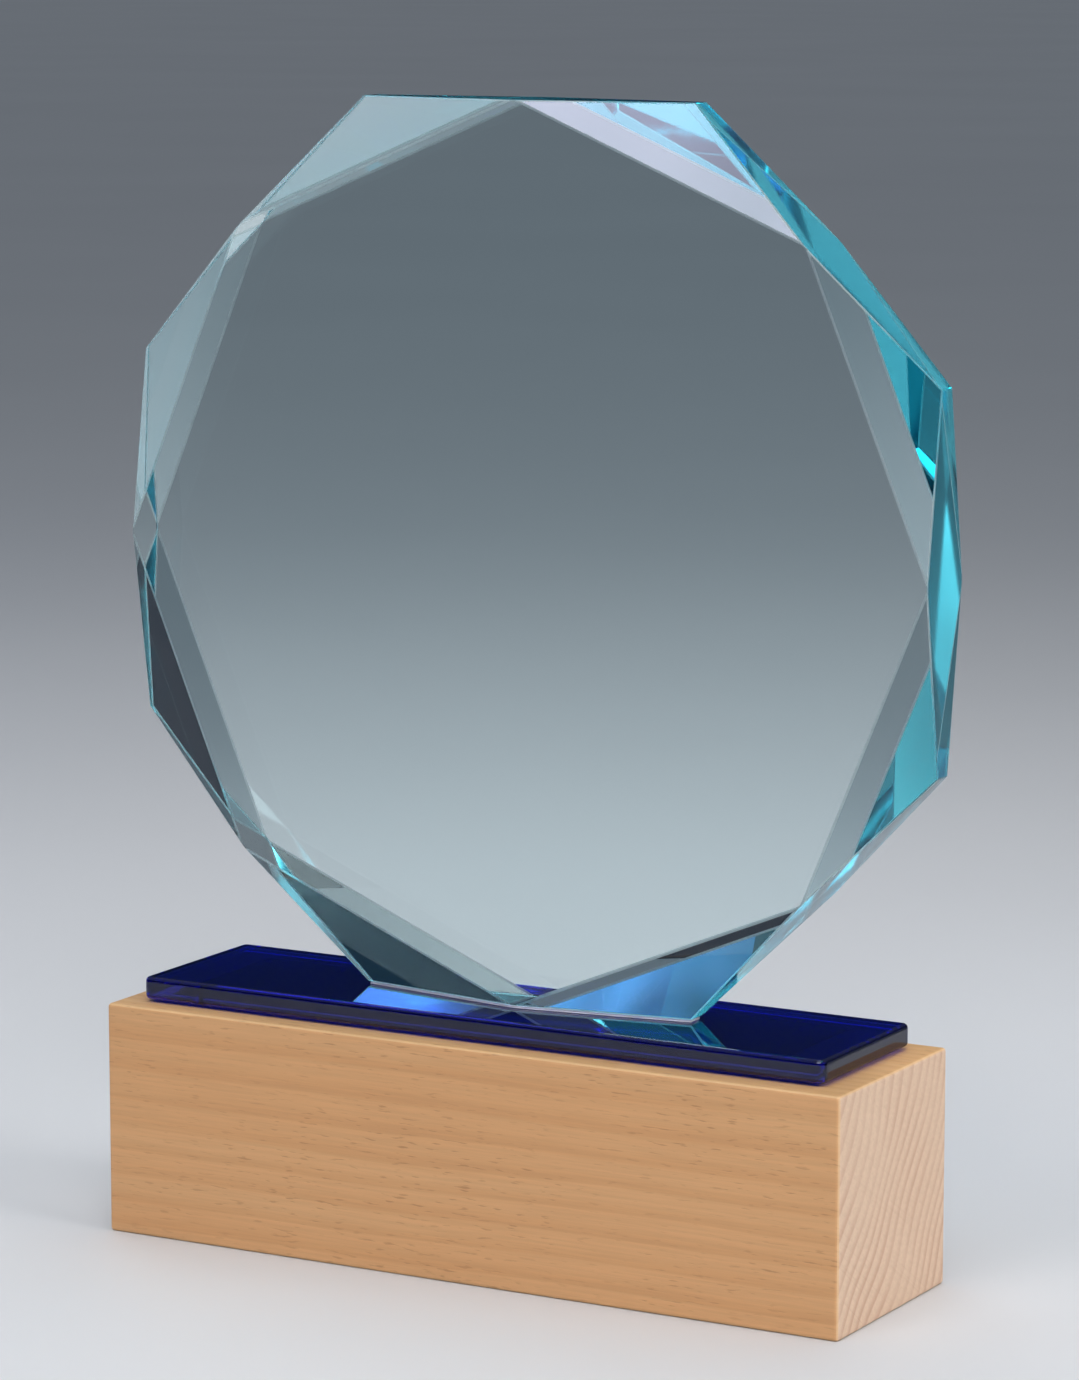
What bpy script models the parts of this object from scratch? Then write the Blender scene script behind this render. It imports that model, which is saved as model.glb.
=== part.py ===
"""A glass award: a faceted octagonal disc of clear glass, bonded upright on a blue glass plate
that is taped to a solid beech block. Units are metres, +Z is up, the front faces -Y and the
origin is under the middle of the disc."""

import math

import bmesh
import bpy
from mathutils import Matrix, Vector

COLLECTION_NAME = "Glass award"
CONTACT_GAP = 0.0002  # left between pieces that rest on each other
BASE_OFFSET_X = -0.003  # the disc is bonded slightly to the right of the middle of the plate and the block

# Wood block
BLOCK_LENGTH = 0.160
BLOCK_DEPTH = 0.046
BLOCK_HEIGHT = 0.046
BLOCK_EASED_EDGE = 0.0007
BLOCK_EDGE_SEGMENTS = 3

# Double-sided tape between the block and the plate
TAPE_LENGTH = 0.045
TAPE_WIDTH = 0.025
TAPE_THICKNESS = 0.00015
TAPE_CENTRE_X = 0.042

# Blue glass plate
PLATE_LENGTH = 0.149
PLATE_DEPTH = 0.037
PLATE_THICKNESS = 0.0045
PLATE_CORNER_RADIUS = 0.0015
PLATE_CORNER_SEGMENTS = 6
PLATE_POLISHED_EDGE = 0.0009
PLATE_EDGE_SEGMENTS = 4

# Adhesive film under the disc
BOND_THICKNESS = 0.00015
BOND_INSET = 0.0003

# Clear glass disc: a regular octagon that stands on one side
DISC_SIDES = 8
DISC_ACROSS_FLATS = 0.172
DISC_THICKNESS = 0.015
DISC_CORNER_THICKNESS = 0.0043  # left at each corner between its front and back facets
DISC_FACET_LAND = 0.0012  # untouched length at each mid-side, between two facets
DISC_ARRIS = 0.00025
DISC_ARRIS_SEGMENTS = 2

# Worked out from the above
TAPE_BOTTOM = BLOCK_HEIGHT + CONTACT_GAP
PLATE_BOTTOM = TAPE_BOTTOM + TAPE_THICKNESS + CONTACT_GAP
BOND_BOTTOM = PLATE_BOTTOM + PLATE_THICKNESS + CONTACT_GAP
DISC_BOTTOM = BOND_BOTTOM + BOND_THICKNESS + CONTACT_GAP
DISC_HALF_ANGLE = math.pi / DISC_SIDES  # between a corner and the middle of the next side
DISC_APOTHEM = DISC_ACROSS_FLATS / 2
DISC_RADIUS = DISC_APOTHEM / math.cos(DISC_HALF_ANGLE)
DISC_HALF_SIDE = DISC_APOTHEM * math.tan(DISC_HALF_ANGLE)

# Edges sharper than these are bevelled; the disc's facets meet its faces at about 21 degrees
BOX_SHARP_ANGLE = math.radians(30)
FACET_SHARP_ANGLE = math.radians(12)
MERGE_DISTANCE = 1e-7


def clear_scene():
    for obj in list(bpy.data.objects):
        bpy.data.objects.remove(obj, do_unlink=True)


def principled(name, colour, roughness, transmission=0.0, ior=1.5):
    material = bpy.data.materials.new(name)
    material.use_nodes = True
    shader = material.node_tree.nodes["Principled BSDF"]
    shader.inputs["Base Color"].default_value = (*colour, 1.0)
    shader.inputs["Roughness"].default_value = roughness
    shader.inputs["Metallic"].default_value = 0.0
    shader.inputs["Transmission Weight"].default_value = transmission
    shader.inputs["IOR"].default_value = ior
    material.diffuse_color = (*colour, 1.0)
    return material


def clear_glass_material():
    return principled("clear glass", (0.80, 0.93, 0.93), 0.02, transmission=1.0, ior=1.52)


def clear_adhesive_material():
    return principled("clear adhesive", (0.88, 0.89, 0.95), 0.08, transmission=0.9, ior=1.50)


def blue_glass_material():
    return principled("cobalt blue glass", (0.004, 0.014, 0.27), 0.03, transmission=0.9, ior=1.52)


def tape_material():
    return principled("clear mounting tape", (0.75, 0.77, 0.78), 0.35, transmission=0.5, ior=1.48)


def beech_material():
    return principled("beech", (0.60, 0.35, 0.17), 0.55)


def add_object(name, data, material, location, collection, parent):
    data.materials.append(material)
    obj = bpy.data.objects.new(name, data)
    obj.location = location
    obj.parent = parent
    collection.objects.link(obj)
    return obj


def box_mesh(name, length, depth, height):
    """A box that stands on z = 0, centred on the Z axis."""
    bm = bmesh.new()
    bmesh.ops.create_cube(bm, size=1.0)
    bmesh.ops.scale(bm, vec=(length, depth, height), verts=bm.verts)
    bmesh.ops.translate(bm, vec=(0.0, 0.0, height / 2), verts=bm.verts)
    mesh = bpy.data.meshes.new(name)
    bm.to_mesh(mesh)
    bm.free()
    return mesh


def rounded_box_mesh(name, length, depth, height, corner_radius, corner_segments):
    """The same box with its four upright edges rounded."""
    mesh = box_mesh(name, length, depth, height)
    bm = bmesh.new()
    bm.from_mesh(mesh)
    upright = [e for e in bm.edges if abs(e.verts[0].co.z - e.verts[1].co.z) > height / 2]
    bmesh.ops.bevel(
        bm, geom=upright, offset=corner_radius, segments=corner_segments, profile=0.5, affect="EDGES"
    )
    bm.to_mesh(mesh)
    bm.free()
    return mesh


def octagon_blank():
    """The ground blank before its facets: an octagonal prism along Y, flat side down, standing on z = 0."""
    bm = bmesh.new()
    bmesh.ops.create_cone(
        bm,
        cap_ends=True,
        segments=DISC_SIDES,
        radius1=DISC_RADIUS,
        radius2=DISC_RADIUS,
        depth=DISC_THICKNESS,
    )
    turn = Matrix.Rotation(DISC_HALF_ANGLE, 4, "Z")
    stand_up = Matrix.Rotation(math.radians(90), 4, "X")
    lift = Matrix.Translation((0.0, 0.0, DISC_APOTHEM))
    bmesh.ops.transform(bm, matrix=lift @ stand_up @ turn, verts=bm.verts)
    return bm


def cut_facet(bm, angle, side):
    """Grinds one facet off the corner at this angle, on the front (side -1) or the back (side 1)."""
    outward = Vector((math.cos(angle), 0.0, math.sin(angle)))
    through = Vector((0.0, side, 0.0))
    centre = Vector((0.0, 0.0, DISC_APOTHEM))
    chord_radius = DISC_APOTHEM * math.cos(DISC_HALF_ANGLE)
    chord_radius += DISC_FACET_LAND / 2 * math.sin(DISC_HALF_ANGLE)
    run = DISC_RADIUS - chord_radius
    drop = (DISC_THICKNESS - DISC_CORNER_THICKNESS) / 2
    normal = outward * drop + through * run
    corner = centre + outward * DISC_RADIUS + through * DISC_CORNER_THICKNESS / 2
    everything = bm.verts[:] + bm.edges[:] + bm.faces[:]
    bmesh.ops.bisect_plane(
        bm,
        geom=everything,
        dist=MERGE_DISTANCE,
        plane_co=corner,
        plane_no=normal.normalized(),
        clear_outer=True,
    )
    bmesh.ops.holes_fill(bm, edges=[e for e in bm.edges if e.is_boundary])


def disc_mesh():
    bm = octagon_blank()
    for index in range(DISC_SIDES):
        angle = DISC_HALF_ANGLE * (2 * index + 1)
        for side in (-1, 1):
            cut_facet(bm, angle, side)
    bmesh.ops.recalc_face_normals(bm, faces=bm.faces)
    mesh = bpy.data.meshes.new("glass_disc")
    bm.to_mesh(mesh)
    bm.free()
    return mesh


def bond_curve():
    """A flat film with the outline of the disc's foot, which is widest in the middle."""
    end_x = DISC_HALF_SIDE - 2 * BOND_INSET
    end_y = DISC_CORNER_THICKNESS / 2 - BOND_INSET
    middle_x = DISC_FACET_LAND / 2
    middle_y = DISC_THICKNESS / 2 - BOND_INSET
    front = [(-end_x, -end_y), (-middle_x, -middle_y), (middle_x, -middle_y), (end_x, -end_y)]
    back = [(-x, -y) for x, y in front]
    curve = bpy.data.curves.new("disc_bond", "CURVE")
    curve.dimensions = "2D"
    curve.fill_mode = "BOTH"
    curve.extrude = BOND_THICKNESS / 2
    outline = front + back
    spline = curve.splines.new("POLY")
    spline.points.add(len(outline) - 1)
    for point, (x, y) in zip(spline.points, outline):
        point.co = (x, y, 0.0, 1.0)
    spline.use_cyclic_u = True
    return curve


def bevel_edges(obj, width, segments, sharp_angle):
    obj.data.shade_smooth()
    modifier = obj.modifiers.new("polished edges", "BEVEL")
    modifier.width = width
    modifier.segments = segments
    modifier.limit_method = "ANGLE"
    modifier.angle_limit = sharp_angle
    modifier.harden_normals = True


def build():
    clear_scene()
    collection = bpy.data.collections.new(COLLECTION_NAME)
    bpy.context.scene.collection.children.link(collection)
    root = bpy.data.objects.new("award", None)
    root.empty_display_size = BLOCK_DEPTH
    collection.objects.link(root)
    base = bpy.data.objects.new("base", None)
    base.empty_display_size = BLOCK_DEPTH / 2
    base.location.x = BASE_OFFSET_X
    base.parent = root
    collection.objects.link(base)

    block_mesh = box_mesh("wood_block", BLOCK_LENGTH, BLOCK_DEPTH, BLOCK_HEIGHT)
    block = add_object("wood_block", block_mesh, beech_material(), (0.0, 0.0, 0.0), collection, base)
    bevel_edges(block, BLOCK_EASED_EDGE, BLOCK_EDGE_SEGMENTS, BOX_SHARP_ANGLE)

    tape = tape_material()
    for side, name in ((-1, "plate_tape_left"), (1, "plate_tape_right")):
        tape_mesh = box_mesh(name, TAPE_LENGTH, TAPE_WIDTH, TAPE_THICKNESS)
        add_object(name, tape_mesh, tape, (side * TAPE_CENTRE_X, 0.0, TAPE_BOTTOM), collection, base)

    plate_mesh = rounded_box_mesh(
        "blue_glass_plate",
        PLATE_LENGTH,
        PLATE_DEPTH,
        PLATE_THICKNESS,
        PLATE_CORNER_RADIUS,
        PLATE_CORNER_SEGMENTS,
    )
    plate_place = (0.0, 0.0, PLATE_BOTTOM)
    plate = add_object("blue_glass_plate", plate_mesh, blue_glass_material(), plate_place, collection, base)
    bevel_edges(plate, PLATE_POLISHED_EDGE, PLATE_EDGE_SEGMENTS, BOX_SHARP_ANGLE)

    bond_place = (0.0, 0.0, BOND_BOTTOM + BOND_THICKNESS / 2)
    add_object("disc_bond", bond_curve(), clear_adhesive_material(), bond_place, collection, root)

    disc_place = (0.0, 0.0, DISC_BOTTOM)
    disc = add_object("glass_disc", disc_mesh(), clear_glass_material(), disc_place, collection, root)
    bevel_edges(disc, DISC_ARRIS, DISC_ARRIS_SEGMENTS, FACET_SHARP_ANGLE)


build()
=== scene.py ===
"""Looks for the glass award: a faceted clear glass disc on a blue glass plate and a beech block."""

import math

import bmesh
import bpy
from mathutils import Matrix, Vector, noise


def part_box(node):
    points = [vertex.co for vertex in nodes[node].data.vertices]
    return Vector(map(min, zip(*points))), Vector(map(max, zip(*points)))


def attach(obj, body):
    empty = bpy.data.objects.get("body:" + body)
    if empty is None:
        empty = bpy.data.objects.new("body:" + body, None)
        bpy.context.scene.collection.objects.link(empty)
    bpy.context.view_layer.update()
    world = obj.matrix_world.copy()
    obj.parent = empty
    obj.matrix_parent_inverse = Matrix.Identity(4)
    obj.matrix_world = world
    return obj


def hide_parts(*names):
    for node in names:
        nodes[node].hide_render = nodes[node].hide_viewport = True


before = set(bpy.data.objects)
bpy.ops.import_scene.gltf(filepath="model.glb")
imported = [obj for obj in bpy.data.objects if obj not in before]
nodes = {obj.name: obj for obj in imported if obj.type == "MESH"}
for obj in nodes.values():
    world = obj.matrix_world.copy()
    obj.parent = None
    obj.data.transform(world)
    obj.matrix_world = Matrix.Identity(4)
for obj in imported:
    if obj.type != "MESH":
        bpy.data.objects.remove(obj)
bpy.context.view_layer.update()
scene = bpy.context.scene


# ---------------------------------------------------------------- node helpers
class Tree:
    """A node tree with short calls for the nodes used here."""

    def __init__(self, tree):
        self.tree = tree

    def add(self, kind, **settings):
        node = self.tree.nodes.new(kind)
        for key, value in settings.items():
            setattr(node, key, value)
        return node

    def join(self, source, target):
        self.tree.links.new(source, target)

    def put(self, socket, value):
        if isinstance(value, bpy.types.NodeSocket):
            self.join(value, socket)
        else:
            socket.default_value = value

    def split(self, vector):
        node = self.add("ShaderNodeSeparateXYZ")
        self.join(vector, node.inputs[0])
        return node.outputs

    def mapped(self, vector, scale=(1, 1, 1), turn=(0, 0, 0), move=(0, 0, 0)):
        node = self.add("ShaderNodeMapping")
        self.join(vector, node.inputs["Vector"])
        node.inputs["Location"].default_value = move
        node.inputs["Rotation"].default_value = turn
        node.inputs["Scale"].default_value = scale
        return node.outputs["Vector"]

    def noise(self, vector, scale, detail=3.0, rough=0.5, distortion=0.0):
        node = self.add("ShaderNodeTexNoise")
        self.join(vector, node.inputs["Vector"])
        node.inputs["Scale"].default_value = scale
        node.inputs["Detail"].default_value = detail
        node.inputs["Roughness"].default_value = rough
        node.inputs["Distortion"].default_value = distortion
        return node.outputs["Fac"]

    def cells(self, vector, scale):
        node = self.add("ShaderNodeTexVoronoi")
        self.join(vector, node.inputs["Vector"])
        node.inputs["Scale"].default_value = scale
        return node.outputs["Distance"]

    def math(self, kind, a, b=0.0, c=0.0):
        node = self.add("ShaderNodeMath", operation=kind)
        for socket, value in zip(node.inputs, (a, b, c)):
            self.put(socket, value)
        return node.outputs[0]

    def span(self, value, low, high, to_low=0.0, to_high=1.0, curve="SMOOTHSTEP"):
        """Carries the range low to high over to to_low to to_high, and holds the ends."""
        node = self.add("ShaderNodeMapRange", interpolation_type=curve)
        self.join(value, node.inputs["Value"])
        node.inputs["From Min"].default_value = low
        node.inputs["From Max"].default_value = high
        node.inputs["To Min"].default_value = to_low
        node.inputs["To Max"].default_value = to_high
        return node.outputs["Result"]

    def mix(self, share, a, b, blend="MIX"):
        node = self.add("ShaderNodeMix", data_type="RGBA", blend_type=blend)
        self.put(node.inputs["Factor"], share)
        self.put(node.inputs[6], a)
        self.put(node.inputs[7], b)
        return node.outputs[2]

    def bump(self, height, strength, distance):
        node = self.add("ShaderNodeBump")
        self.join(height, node.inputs["Height"])
        node.inputs["Strength"].default_value = strength
        node.inputs["Distance"].default_value = distance
        return node.outputs["Normal"]


class Finish(Tree):
    """A new material's node tree. Each material is made in one function and closed by surface()."""

    def __init__(self, name):
        self.material = bpy.data.materials.new(name)
        self.material.use_nodes = True
        super().__init__(self.material.node_tree)
        self.tree.nodes.clear()

    def position(self):
        """Where the point is on the object, in metres."""
        return self.add("ShaderNodeTexCoord").outputs["Object"]

    def surface(self, colour, roughness, normal=None, transmission=0.0, ior=1.5, absorption=None):
        """Adds the shader. Absorption is a colour and a density per metre, for light inside the piece."""
        shader = self.add("ShaderNodeBsdfPrincipled")
        self.put(shader.inputs["Base Color"], colour)
        self.put(shader.inputs["Roughness"], roughness)
        shader.inputs["Transmission Weight"].default_value = transmission
        shader.inputs["IOR"].default_value = ior
        if normal is not None:
            self.join(normal, shader.inputs["Normal"])
        output = self.add("ShaderNodeOutputMaterial")
        self.join(shader.outputs[0], output.inputs["Surface"])
        if absorption is not None:
            volume = self.add("ShaderNodeVolumeAbsorption")
            volume.inputs["Color"].default_value = absorption[0]
            volume.inputs["Density"].default_value = absorption[1]
            self.join(volume.outputs[0], output.inputs["Volume"])
        return self.material


def paint(obj, material):
    obj.data.materials.clear()
    obj.data.materials.append(material)


def rgb(r, g, b):
    return (r, g, b, 1.0)


# ---------------------------------------------------------------- glass
GLASS_IOR = 1.52
CLEAR_ABSORPTION = (rgb(0.0, 0.82, 0.91), 10.5)
COBALT_ABSORPTION = (rgb(0.0, 0.3, 0.94), 560.0)
COBALT = (rgb(0.02, 0.06, 0.88), rgb(0.05, 0.11, 0.97))
FACE_TINT = rgb(1.0, 1.0, 1.0)
# painted reflection: the facets and rim are tinted teal to stand in for the teal surroundings seen through
# them; the glass itself is one colour
FACET_PAINTED_REFLECTION = rgb(0.78, 0.93, 0.97)
RIM_PAINTED_REFLECTION = rgb(0.72, 0.95, 0.95)
# painted highlight: the ground arrises are coloured lighter so they show as bright lines, as if catching
# light
ARRIS_PAINTED_HIGHLIGHT = rgb(0.92, 1.0, 1.0)
SMEAR_TINT = rgb(0.90, 0.95, 0.96)
ARRIS_ROUGHNESS = 0.58
RIM_ROUGHNESS = 0.055
SMEAR_ROUGHNESS = 0.03


def clear_glass():
    """Polished float glass: aqua through its length, with ground arrises and faint wipe marks. The facets
    and rim carry a painted teal reflection tint, and the arrises a painted highlight.
    """
    t = Finish("clear glass")
    at = t.position()
    facing = t.split(t.add("ShaderNodeNewGeometry").outputs["True Normal"])
    slope = t.math("ABSOLUTE", facing["Y"])  # 1 on the two faces, 0.93 on the facets, 0 on the rim
    inner_arris = t.math("MULTIPLY", t.span(slope, 0.936, 0.942), t.span(slope, 0.9982, 0.9990, 1.0, 0.0))
    outer_arris = t.math("MULTIPLY", t.span(slope, 0.05, 0.08), t.span(slope, 0.88, 0.90, 1.0, 0.0))
    arris = t.math("MAXIMUM", inner_arris, outer_arris)
    rim = t.span(slope, 0.02, 0.05, 1.0, 0.0)

    patch = t.noise(at, 22.0)
    wipe = t.noise(t.mapped(at, scale=(60, 60, 900), turn=(0, 0.6, 0)), 1.0)
    smear = t.math("MULTIPLY", t.span(patch, 0.5, 0.8), t.span(wipe, 0.4, 0.75))
    # painted reflection: a teal tint on the facets and the rim, for the surroundings seen through them
    tint = t.mix(t.span(slope, 0.955, 0.985), FACET_PAINTED_REFLECTION, FACE_TINT)
    tint = t.mix(t.span(slope, 0.3, 0.8), RIM_PAINTED_REFLECTION, tint)
    tint = t.mix(t.math("MULTIPLY", smear, 0.3), tint, SMEAR_TINT)
    # the arrises are rough because they are ground; their lighter colour is a painted highlight
    tint = t.mix(arris, tint, ARRIS_PAINTED_HIGHLIGHT)

    polish = t.math("MULTIPLY_ADD", rim, RIM_ROUGHNESS, t.math("MULTIPLY", smear, SMEAR_ROUGHNESS))
    roughness = t.math("MULTIPLY_ADD", arris, ARRIS_ROUGHNESS, polish)
    wave = t.noise(t.mapped(at, scale=(1.0, 0.3, 1.0)), 32.0, detail=0.0)
    most_on_rim = t.math("MULTIPLY_ADD", rim, 0.85, 0.15)
    relief = t.bump(t.math("MULTIPLY", wave, most_on_rim), strength=0.6, distance=0.00016)
    return t.surface(tint, roughness, relief, 1.0, GLASS_IOR, CLEAR_ABSORPTION)


def blue_glass():
    """Cobalt glass, nearly black where it is looked through at length."""
    t = Finish("cobalt blue glass")
    at = t.position()
    patch = t.noise(at, 60.0, detail=4.0)
    colour = t.mix(patch, *COBALT)
    roughness = t.span(patch, 0.45, 0.8, 0.0, 0.05)
    relief = t.bump(t.noise(at, 70.0, detail=1.0), strength=0.3, distance=0.00002)
    return t.surface(colour, roughness, relief, 0.985, GLASS_IOR, COBALT_ABSORPTION)


# ---------------------------------------------------------------- beech
PITH = (-0.173, 0.123)  # y and z of the tree's centre line, in front of the block and above it
PITH_DISTANCE = 0.2
RING_WIDTH = 0.0031
RING_WANDER = 0.0042
LONG_GRAIN = (rgb(0.745, 0.385, 0.165), rgb(0.785, 0.435, 0.200))
LONG_LATE_WOOD = rgb(0.61, 0.275, 0.10)
LONG_STREAK = rgb(0.80, 0.50, 0.25)
END_GRAIN = (rgb(0.76, 0.54, 0.385), rgb(0.80, 0.60, 0.44))
END_LATE_WOOD = rgb(0.62, 0.375, 0.26)
END_PORE = rgb(0.50, 0.28, 0.17)
# painted shade: the top face is multiplied slightly darker and less red, for how the light falls on it
TOP_PAINTED_SHADE = rgb(0.88, 0.95, 0.93)
RAY_FLECK = rgb(0.35, 0.145, 0.045)
FIBRE_GROOVE = rgb(0.30, 0.16, 0.07)
# lighter yellow along the eased edges: partly wear, partly a painted highlight where the rounded edge
# catches light
EASED_EDGE_WEAR_AND_HIGHLIGHT = rgb(0.80, 0.56, 0.30)


def beech():
    """Solid beech cut along the grain: growth rings round a distant pith, rays as short dark flecks. The
    top face carries painted shade, and the eased edges a lighter colour that is partly wear and partly
    painted highlight.
    """
    t = Finish("beech")
    at = t.position()
    x, y, z = t.split(at)
    from_pith_y = t.math("SUBTRACT", y, PITH[0])
    from_pith_z = t.math("SUBTRACT", z, PITH[1])
    square = t.math("MULTIPLY_ADD", from_pith_z, from_pith_z, t.math("MULTIPLY", from_pith_y, from_pith_y))
    radius = t.math("SQRT", square)
    around = t.math("MULTIPLY", t.math("ARCTAN2", from_pith_z, from_pith_y), PITH_DISTANCE)
    wander = t.noise(t.mapped(at, scale=(7, 26, 26)), 1.0, detail=2.0)
    radius = t.math("MULTIPLY_ADD", wander, RING_WANDER, radius)
    uneven = t.noise(t.mapped(at, scale=(0.5, 42, 42)), 1.0, detail=0.0)
    rings = t.math("MULTIPLY_ADD", uneven, 2.2, t.math("DIVIDE", radius, RING_WIDTH))
    share = t.math("FRACT", rings)
    late = t.math("MULTIPLY", t.span(share, 0.30, 0.86), t.span(share, 0.90, 1.0, 1.0, 0.0))

    cut = t.add("ShaderNodeCombineXYZ")
    for socket, value in zip(cut.inputs, (x, around, radius)):
        t.join(value, socket)
    sawn = cut.outputs[0]  # along the grain, round the rings, out from the pith
    ray = t.noise(t.mapped(sawn, scale=(280, 2100, 22)), 1.0, detail=2.0, rough=0.4)
    crowd = t.noise(t.mapped(sawn, scale=(30, 90, 30), move=(3, 1, 2)), 1.0, detail=2.0)
    fleck = t.math("MULTIPLY", t.span(ray, 0.60, 0.72), t.span(crowd, 0.35, 0.6, 0.35, 1.0))
    fibre = t.noise(t.mapped(sawn, scale=(45, 1400, 1400)), 1.0, detail=4.0, rough=0.65)
    streak = t.noise(t.mapped(at, scale=(5, 130, 130), move=(1, 4, 2)), 1.0)
    drift = t.noise(t.mapped(at, scale=(9, 22, 22)), 1.0, detail=2.0)

    lean = [t.math("ABSOLUTE", value) for value in t.split(t.add("ShaderNodeTexCoord").outputs["Normal"])]
    end = t.span(lean[0], 0.6, 0.85)
    top = t.span(lean[2], 0.6, 0.85)
    flattest = t.math("MAXIMUM", t.math("MAXIMUM", lean[0], lean[1]), lean[2])
    edge = t.span(flattest, 0.80, 0.985, 1.0, 0.0)

    along = t.mix(drift, *LONG_GRAIN)
    along = t.mix(t.math("MULTIPLY", late, 0.30), along, LONG_LATE_WOOD)
    along = t.mix(t.span(streak, 0.45, 0.75, 0.0, 0.35), along, LONG_STREAK)
    # painted shade on the top face, which is the same wood as the front, for how the light falls there
    along = t.mix(top, along, TOP_PAINTED_SHADE, "MULTIPLY")
    pores = t.noise(t.mapped(at, scale=(1, 5200, 5200)), 1.0, detail=2.0)
    fading = t.noise(t.mapped(at, scale=(1, 45, 30), move=(0, 2, 5)), 1.0, detail=1.0)
    across = t.mix(drift, *END_GRAIN)
    across = t.mix(t.math("MULTIPLY", late, t.span(fading, 0.35, 0.65, 0.35, 0.8)), across, END_LATE_WOOD)
    across = t.mix(t.span(pores, 0.5, 0.75, 0.0, 0.22), across, END_PORE)
    colour = t.mix(end, along, across)
    dark = t.math("MULTIPLY", fleck, t.math("MULTIPLY_ADD", end, -0.36, 0.42))
    colour = t.mix(dark, colour, RAY_FLECK)
    colour = t.mix(t.span(fibre, 0.3, 0.7, 0.14, 0.0), colour, FIBRE_GROOVE)
    # eased edges made lighter: partly wear, partly painted highlight
    colour = t.mix(t.math("MULTIPLY", edge, 0.4), colour, EASED_EDGE_WEAR_AND_HIGHLIGHT)

    dull = t.math("MULTIPLY_ADD", fibre, 0.18, t.math("MULTIPLY_ADD", end, 0.12, 0.38))
    roughness = t.math("MULTIPLY_ADD", edge, -0.1, dull)
    relief = t.math("MULTIPLY_ADD", fleck, -0.7, t.math("MULTIPLY_ADD", late, 0.25, fibre))
    return t.surface(colour, roughness, t.bump(relief, strength=0.35, distance=0.00012))


# ---------------------------------------------------------------- tape and adhesive
def tape():
    """Clear double-sided tape with faint cells of trapped air."""
    t = Finish("clear mounting tape")
    at = t.position()
    grain = t.noise(at, 900.0, detail=4.0)
    colour = t.mix(grain, rgb(0.90, 0.92, 0.93), rgb(0.97, 0.97, 0.97))
    roughness = t.span(grain, 0.3, 0.7, 0.05, 0.25)
    relief = t.bump(t.cells(at, 500.0), strength=0.3, distance=0.00003)
    return t.surface(colour, roughness, relief, transmission=1.0, ior=1.48)


def adhesive():
    """Cured glass bond, clear with a milky edge."""
    t = Finish("clear adhesive")
    cloud = t.noise(t.position(), 700.0, detail=4.0)
    colour = t.mix(cloud, rgb(0.80, 0.78, 0.98), rgb(0.95, 0.93, 1.0))
    roughness = t.span(cloud, 0.3, 0.7, 0.02, 0.2)
    relief = t.bump(cloud, strength=0.3, distance=0.00004)
    return t.surface(colour, roughness, relief, transmission=0.4)


# ---------------------------------------------------------------- bond
BEAD_STEP = 0.0008  # spacing of the points along its outline
BEAD_GAP = 0.00002  # left to the glass above and below
BEAD_PROFILE = (  # share of the height, and how far the bead stands out there
    (0.0, 0.00030),
    (0.12, 0.00042),
    (0.35, 0.00030),
    (0.65, 0.00026),
    (0.88, 0.00036),
    (1.0, 0.00022),
)
BEAD_RIPPLES = ((400, 0.00010, 0), (1500, 0.00005, 5))  # frequency per metre, size, noise offset


def bead_outline():
    """Points round the disc's foot in even steps, each with the direction that faces outwards there."""
    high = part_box("disc_bond")[1]
    vertices = nodes["disc_bond"].data.vertices
    points = {(round(v.co.x, 6), round(v.co.y, 6)) for v in vertices}  # several vertices share each corner
    corners = sorted(points, key=lambda point: math.atan2(point[1] / high.y, point[0] / high.x))
    outline = []
    for index, corner in enumerate(corners):
        here = Vector(corner)
        side = Vector(corners[(index + 1) % len(corners)]) - here
        count = max(1, round(side.length / BEAD_STEP))
        outward = Vector((side.y, -side.x)).normalized()
        for step in range(count):
            outline.append((here + side * step / count, outward))
    return outline


def make_bond():
    """The cured adhesive between disc and plate, squeezed out a little all round the disc's foot."""
    floor_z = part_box("blue_glass_plate")[1].z + BEAD_GAP
    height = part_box("glass_disc")[0].z - BEAD_GAP - floor_z
    outline = bead_outline()
    bm = bmesh.new()
    rings = []
    for share, swell in BEAD_PROFILE:
        ring = []
        for point, outward in outline:
            reach = swell
            for frequency, size, offset in BEAD_RIPPLES:
                sample = Vector((point.x * frequency, point.y * frequency, share + offset))
                reach += noise.noise(sample) * size
            place = point + outward * reach
            ring.append(bm.verts.new((place.x, place.y, floor_z + height * share)))
        rings.append(ring)
    total = len(outline)
    for lower, upper in zip(rings, rings[1:]):
        for index in range(total):
            after = (index + 1) % total
            bm.faces.new((lower[index], lower[after], upper[after], upper[index]))
    bm.faces.new(list(reversed(rings[0])))
    bm.faces.new(rings[-1])
    bmesh.ops.recalc_face_normals(bm, faces=bm.faces)
    mesh = bpy.data.meshes.new("bond_bead")
    bm.to_mesh(mesh)
    bm.free()
    mesh.shade_smooth()
    bead = bpy.data.objects.new("bond_bead", mesh)
    scene.collection.objects.link(bead)
    paint(bead, adhesive())
    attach(bead, "root")
    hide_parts("disc_bond")


paint(nodes["glass_disc"], clear_glass())
paint(nodes["blue_glass_plate"], blue_glass())
paint(nodes["wood_block"], beech())
paint(nodes["disc_bond"], adhesive())
make_bond()
for name in ("plate_tape_left", "plate_tape_right"):
    paint(nodes[name], tape())


# ---------------------------------------------------------------- floor
FLOOR_REACH = 14.0  # from its middle to each side


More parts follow.
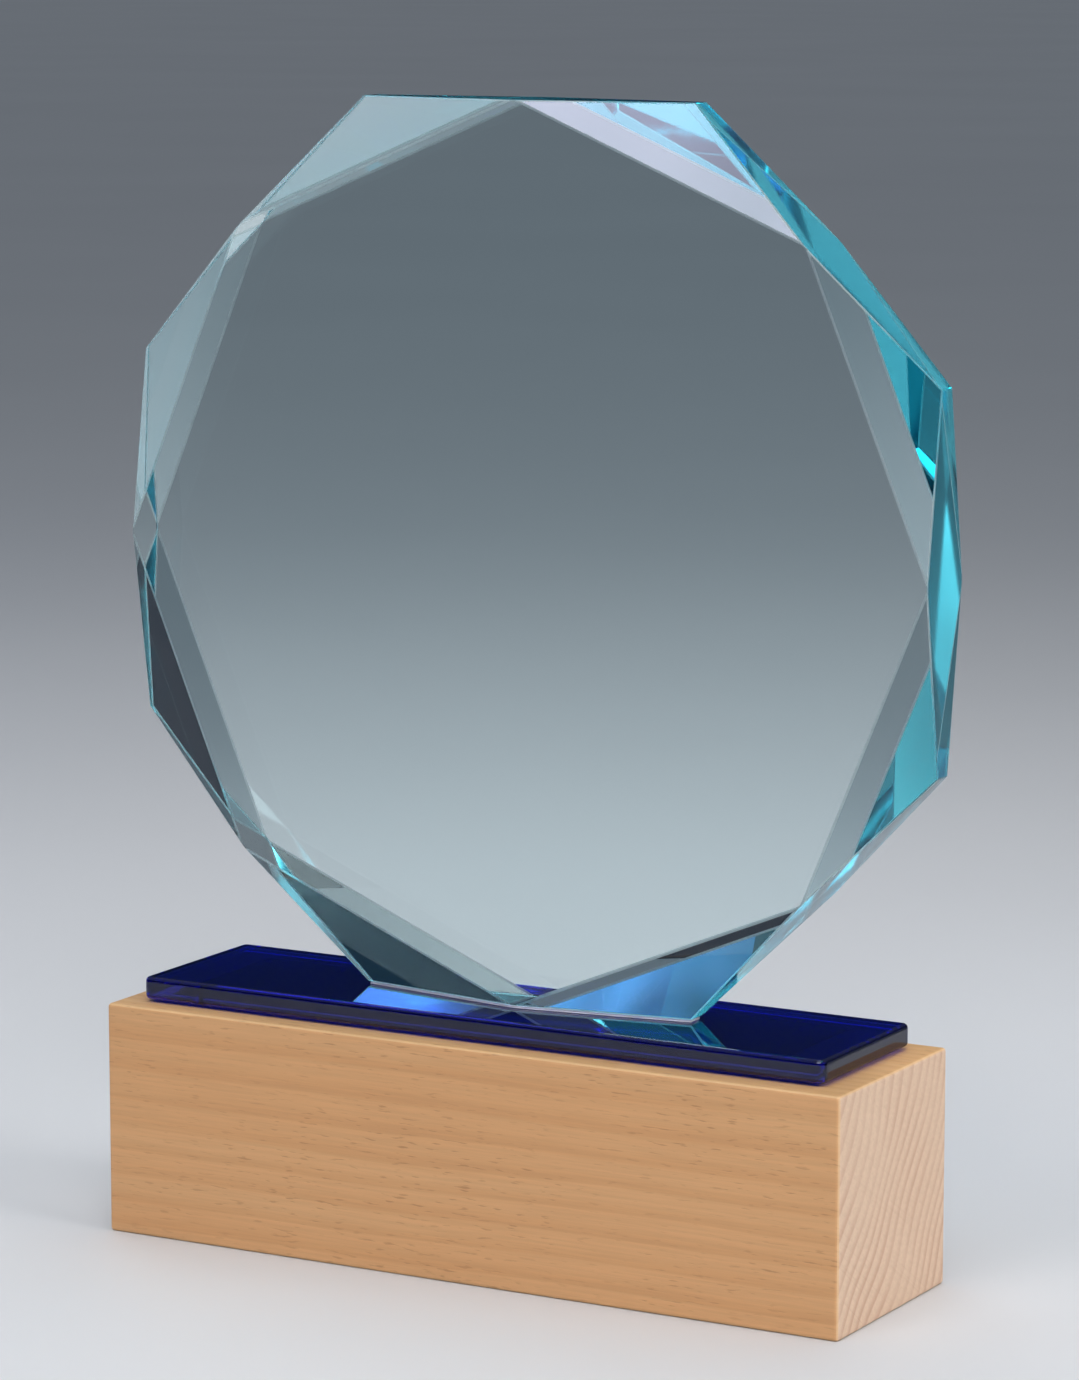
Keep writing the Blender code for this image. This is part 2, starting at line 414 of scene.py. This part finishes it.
def make_floor():
    s = FLOOR_REACH
    mesh = bpy.data.meshes.new("floor")
    mesh.from_pydata([(-s, -s, 0), (s, -s, 0), (s, s, 0), (-s, s, 0)], [], [(0, 1, 2, 3)])
    floor = bpy.data.objects.new("floor", mesh)
    scene.collection.objects.link(floor)
    t = Finish("pale floor")
    cloud = t.noise(t.position(), 3.0)
    paint(floor, t.surface(t.mix(cloud, rgb(0.60, 0.61, 0.63), rgb(0.66, 0.67, 0.69)), 0.6))


make_floor()


# ---------------------------------------------------------------- light
PANEL_MIDDLE = (0.5, 0.5, 0.0)
PANEL_CORE, PANEL_RIM = 0.12, 0.56  # distances from its middle where a panel starts and stops dimming
PANEL_PEAK = 1.35
FOLD_SCALE = 2.2
FOLD_SWIRL = 1.5
FOLD_PEAK = 1.3
AWARD_MIDDLE = (0, 0, 0.12)


def aim(obj, target):
    obj.rotation_euler = (Vector(target) - obj.location).to_track_quat("-Z", "Y").to_euler()


def from_bearing(azimuth, elevation):
    """The direction at these angles. Azimuth 0 is in front (-Y) and positive to the right."""
    a, e = math.radians(azimuth), math.radians(elevation)
    return Vector((math.sin(a) * math.cos(e), -math.cos(a) * math.cos(e), math.sin(e)))


def soften(light, edge):
    """Makes the panel brightest in its middle and down to the share edge at its rim, with soft folds."""
    light.use_nodes = True
    t = Tree(light.node_tree)
    across = t.add("ShaderNodeNewGeometry").outputs["Parametric"]
    centred = t.add("ShaderNodeVectorMath", operation="DISTANCE")
    t.join(across, centred.inputs[0])
    centred.inputs[1].default_value = PANEL_MIDDLE
    fall = t.span(centred.outputs["Value"], PANEL_CORE, PANEL_RIM, PANEL_PEAK, edge)
    folds = t.noise(across, FOLD_SCALE, detail=1.0, distortion=FOLD_SWIRL)
    lift = t.span(folds, 0.3, 0.7, edge, FOLD_PEAK, curve="LINEAR")
    t.join(t.math("MULTIPLY", fall, lift), light.node_tree.nodes["Emission"].inputs["Strength"])


def softbox(
    name, azimuth, elevation, distance, width, height, radiance,
    colour=(1, 1, 1), target=AWARD_MIDDLE, spread=179, edge=0.5,
):
    """A rectangular softbox aimed at its target. Its radiance doesn't change with its size or spread."""
    light = bpy.data.lights.new(name, "AREA")
    light.shape = "RECTANGLE"
    light.size = width
    light.size_y = height
    half = math.radians(spread) / 2
    light.energy = radiance * math.pi * width * height * (1 - half / math.tan(half))
    light.color = colour
    soften(light, edge)
    light.spread = math.radians(spread)
    obj = bpy.data.objects.new(name, light)
    obj.location = Vector(target) + from_bearing(azimuth, elevation) * distance
    obj.visible_camera = False
    aim(obj, target)
    scene.collection.objects.link(obj)
    return obj


def card(*values, **named):
    """A small light panel that only shows in glass and polish, as a photographer's reflector card does."""
    obj = softbox(*values, **named)
    obj.visible_diffuse = False


# azimuth and elevation in degrees, then distance, width and height in metres, then radiance
softbox("key", -8, 58, 1.3, 0.60, 0.55, 7.5, spread=90)
softbox("fill", 32, 40, 1.5, 0.8, 0.7, 8.6, spread=80)
softbox("right", 86, 24, 1.4, 0.7, 0.7, 10.5, colour=(1.0, 0.97, 0.95), spread=90)
softbox("top", 170, 78, 1.1, 0.7, 0.7, 5.0, spread=90)
softbox("rear", 235, 52, 1.5, 0.7, 0.6, 2.6, spread=90)
card("facet", -15, 34, 1.3, 0.60, 0.50, 9.0, colour=(0.80, 0.76, 1.0), target=(0.05, 0, 0.2))
card("left", -118, 9, 1.7, 0.90, 0.46, 3.4, edge=0.15)
card("low", -104, 1, 1.7, 0.20, 0.30, 1.3, edge=0.4)
card("cool", -136, 16, 1.7, 0.26, 0.44, 1.7, colour=(0.16, 0.46, 1.0), edge=0.2)
card("foot", -155, 44, 1.5, 0.40, 0.30, 3.2, colour=(0.07, 0.25, 1.0), edge=0.1)
card("glint", 140, 5, 1.7, 0.34, 0.20, 2.5, edge=0.3)
card("depth", 131, 9, 1.7, 0.20, 0.20, 0.3, edge=0.7)

SKY_LOW = rgb(0.007, 0.020, 0.042)
SKY_HIGH = rgb(0.55, 0.60, 0.66)
SKY_STRENGTH = 0.6
GLASS_BOUNCES = 20  # light is reflected many times inside the disc before it leaves
ALL_BOUNCES = 28


def make_sky():
    """A dark studio that turns pale overhead."""
    world = bpy.data.worlds.new("studio")
    world.use_nodes = True
    t = Tree(world.node_tree)
    rise = t.split(t.add("ShaderNodeTexCoord").outputs["Generated"])["Z"]
    background = world.node_tree.nodes["Background"]
    t.join(t.mix(t.span(rise, 0.15, 0.95), SKY_LOW, SKY_HIGH), background.inputs["Color"])
    background.inputs["Strength"].default_value = SKY_STRENGTH
    scene.world = world


make_sky()
scene.view_settings.view_transform = "Standard"
scene.cycles.max_bounces = ALL_BOUNCES
scene.cycles.glossy_bounces = GLASS_BOUNCES
scene.cycles.transmission_bounces = GLASS_BOUNCES

# ---------------------------------------------------------------- camera
CAMERA_AZIMUTH = 29.35
CAMERA_ELEVATION = 9.013
CAMERA_DISTANCE = 0.9635
CAMERA_TARGET = Vector((0.00156, 0.0, 0.1117))
camera_data = bpy.data.cameras.new("camera")
camera_data.sensor_fit = "VERTICAL"
camera_data.sensor_height = 36.0
camera_data.lens = 132.05
camera = bpy.data.objects.new("camera", camera_data)
camera.location = CAMERA_TARGET + from_bearing(CAMERA_AZIMUTH, CAMERA_ELEVATION) * CAMERA_DISTANCE
aim(camera, CAMERA_TARGET)
scene.collection.objects.link(camera)
scene.camera = camera
